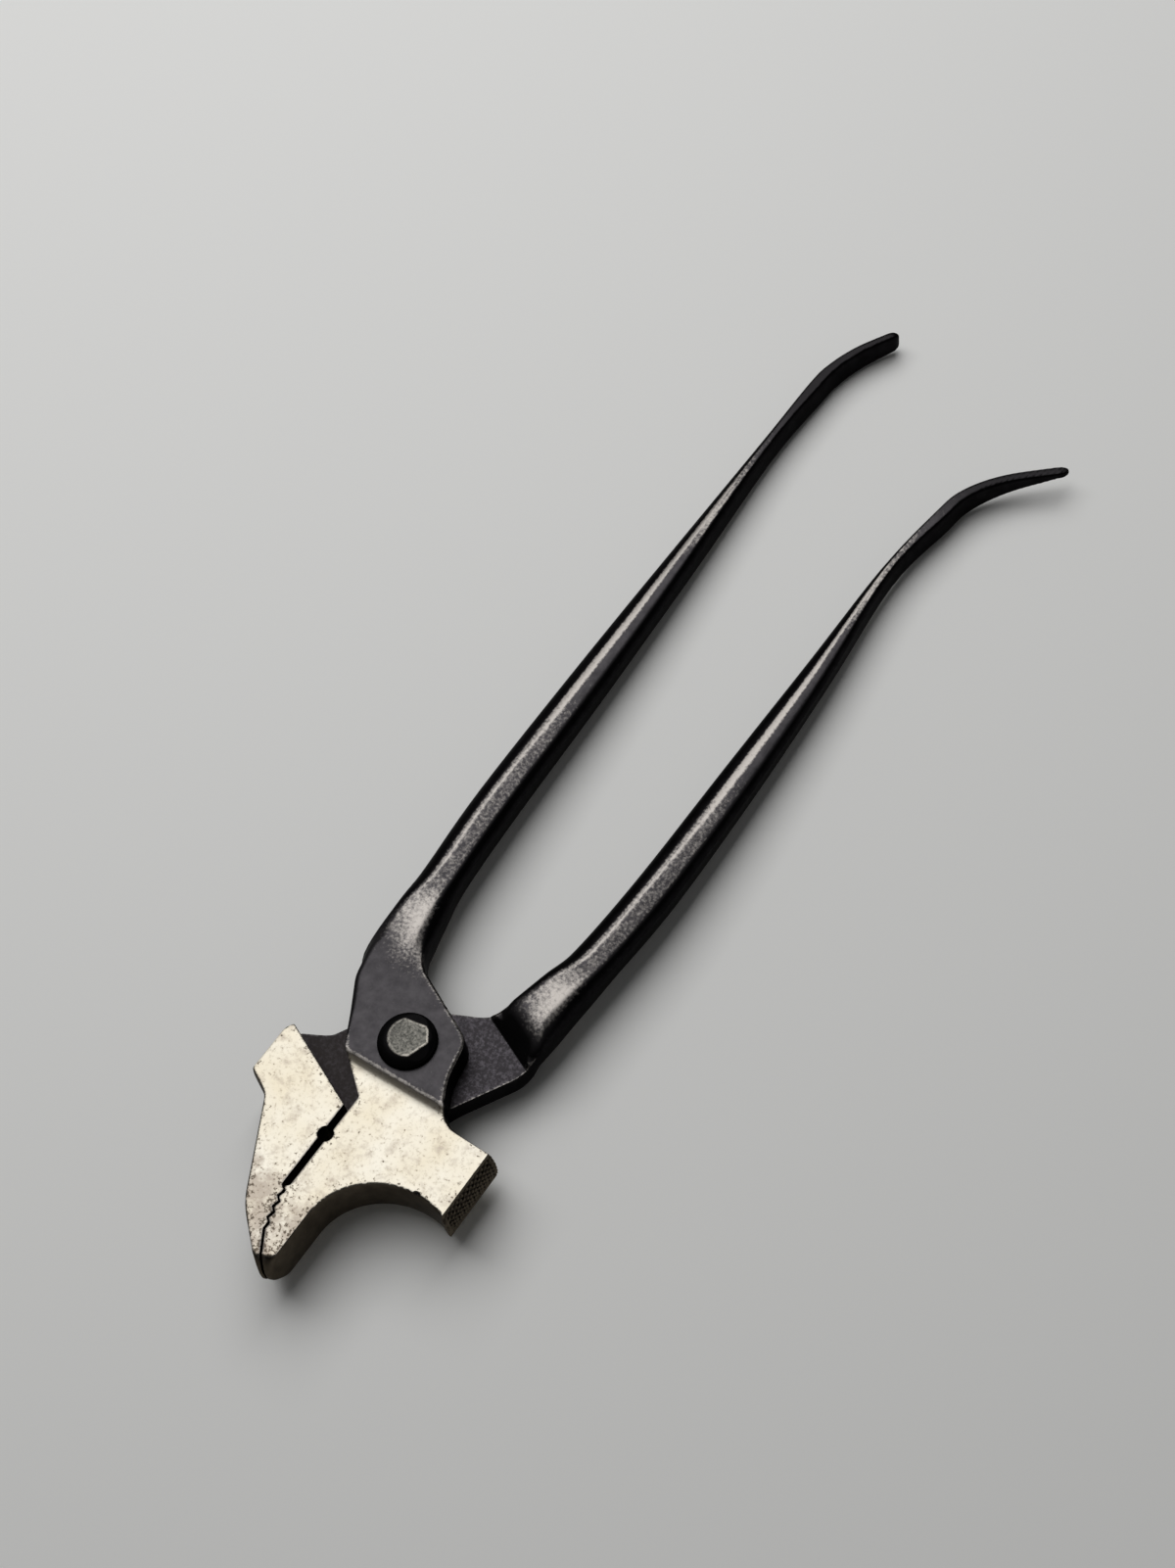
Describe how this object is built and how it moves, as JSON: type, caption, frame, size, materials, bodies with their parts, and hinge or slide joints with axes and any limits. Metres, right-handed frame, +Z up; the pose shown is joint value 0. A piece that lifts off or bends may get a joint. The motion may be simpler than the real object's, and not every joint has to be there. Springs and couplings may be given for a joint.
{
  "type": "lasting pliers",
  "caption": "Forged steel lasting pliers: serrated jaws with a hooked beak on one side and a checkered hammer on the other, a riveted lap joint, and handles that thin into swept blades.",
  "frame": {"origin": "on the pivot axis, at the flat foot of the rivet's lower head, which rests on the bench", "axes": "+Z up along the pivot axis, +Y towards the handles, +X towards the hammer, jaws towards -Y"},
  "size_m": [0.056, 0.2215, 0.0152],
  "materials": {
    "hammer_lever_steel": "drop-forged steel, black oxide on handle and plate, ground bright on the head, worn at the edges",
    "beak_lever_steel": "drop-forged steel, black oxide on handle and plate, ground bright on the head, worn at the edges",
    "rivet_steel": "hammered steel rivet head, dark flank and a worn grey flat"
  },
  "bodies": {
    "hammer_half": {"hammer_lever": "hammer_lever_steel", "pivot_rivet": "rivet_steel"},
    "beak_half": {"beak_lever": "beak_lever_steel"}
  },
  "joints": [
    {"name": "jaw_pivot", "type": "hinge", "parent": "hammer_half", "child": "beak_half", "pos_m": [0, 0, 0.0076], "axis": [0, 0, -1], "range_deg": [0, 38]}
  ]
}
